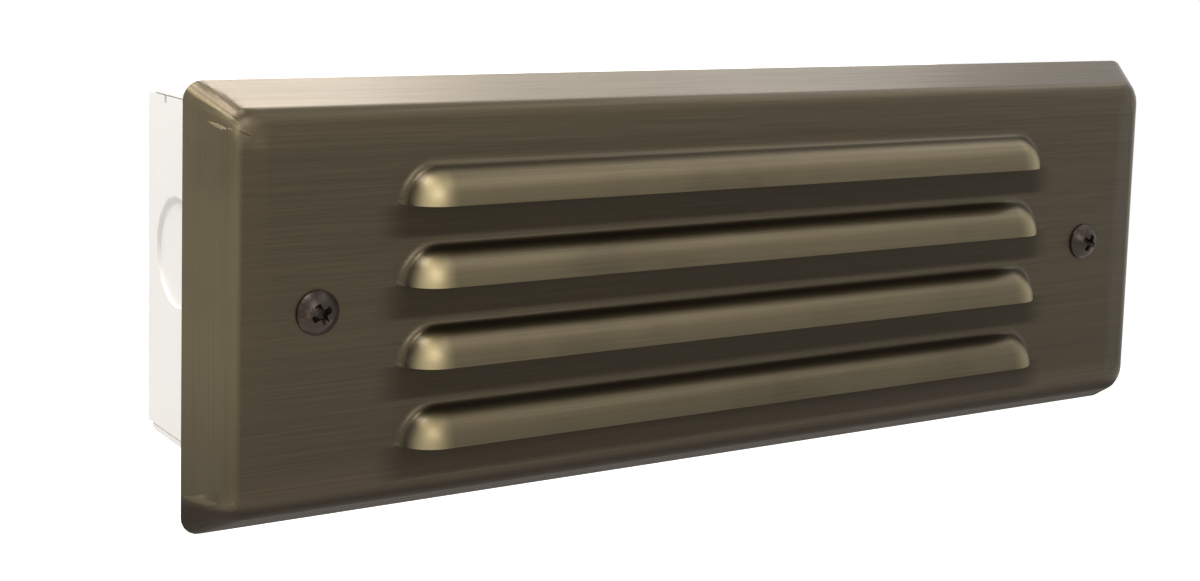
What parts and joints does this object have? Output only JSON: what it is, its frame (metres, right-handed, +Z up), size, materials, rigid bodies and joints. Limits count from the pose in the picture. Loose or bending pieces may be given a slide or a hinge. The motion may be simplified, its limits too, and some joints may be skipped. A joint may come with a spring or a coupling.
{
  "type": "step light",
  "caption": "Recessed step light: wide louvred faceplate with rounded edges, screwed to a white steel back box that holds a lampholder, tubular lamp and trough reflector.",
  "frame": {"origin": "centre of the faceplate's rim, in the plane of the wall", "axes": "+X along the width, to the right as seen from the front; +Y into the wall; +Z up"},
  "size_m": [0.235, 0.0701, 0.082],
  "materials": {
    "antique_bronze": "brushed and darkened, clear lacquer",
    "dark_screw": "dark bronze plating",
    "fibre": "red fibre",
    "lens_glass": "frosted on the inner side",
    "silicone": "soft matt",
    "brass": "plain",
    "foam": "closed cell foam",
    "white_paint": "baked satin enamel",
    "bright_aluminium": "bright rolled",
    "zinc": "zinc plated",
    "porcelain": "glazed",
    "lamp_glass": "clear",
    "black_glass": "opaque black",
    "filament": "wire and clear stem",
    "black_sleeve": "silicone sleeve",
    "white_sleeve": "silicone sleeve",
    "orange_plastic": "moulded",
    "green_screw": "green dyed",
    "green_sleeve": "thermoplastic sleeve"
  },
  "bodies": {
    "housing": {"housing_gasket": "foam", "housing_wrap": "white_paint", "housing_end_left": "white_paint", "housing_end_right": "white_paint", "reflector": "bright_aluminium", "reflector_standoffs": "zinc", "reflector_screws": "zinc", "socket_bracket": "zinc", "bracket_rivets": "zinc", "socket_body": "porcelain", "socket_shell": "brass", "socket_contact": "brass", "socket_nipple": "zinc", "socket_nut": "zinc", "lead_black": "black_sleeve", "lead_white": "white_sleeve", "wire_nuts": "orange_plastic", "ground_screw": "green_screw", "ground_lead": "green_sleeve"},
    "cover": {"faceplate": "antique_bronze", "screw_washers": "fibre", "lens": "lens_glass", "lens_channel": "silicone", "lens_clips": "brass"},
    "left_screw": {"left_cover_screw": "dark_screw"},
    "right_screw": {"right_cover_screw": "dark_screw"},
    "lamp": {"lamp_glass": "lamp_glass", "lamp_base": "brass", "lamp_insulator": "black_glass", "lamp_contact": "zinc", "lamp_filament": "filament"}
  },
  "joints": [
    {"name": "cover_lift", "type": "slide", "parent": "housing", "child": "cover", "axis": [0, -1, 0], "range_m": [0, 0.06]},
    {"name": "left_screw_turn", "type": "hinge", "parent": "cover", "child": "left_screw", "pos_m": [-0.0962, -0.0105, 0], "axis": [0, -1, 0], "continuous": true},
    {"name": "right_screw_turn", "type": "hinge", "parent": "cover", "child": "right_screw", "pos_m": [0.0962, -0.0105, 0], "axis": [0, -1, 0], "continuous": true},
    {"name": "lamp_turn", "type": "hinge", "parent": "housing", "child": "lamp", "pos_m": [0, 0.018, 0], "axis": [1, 0, 0], "continuous": true}
  ]
}
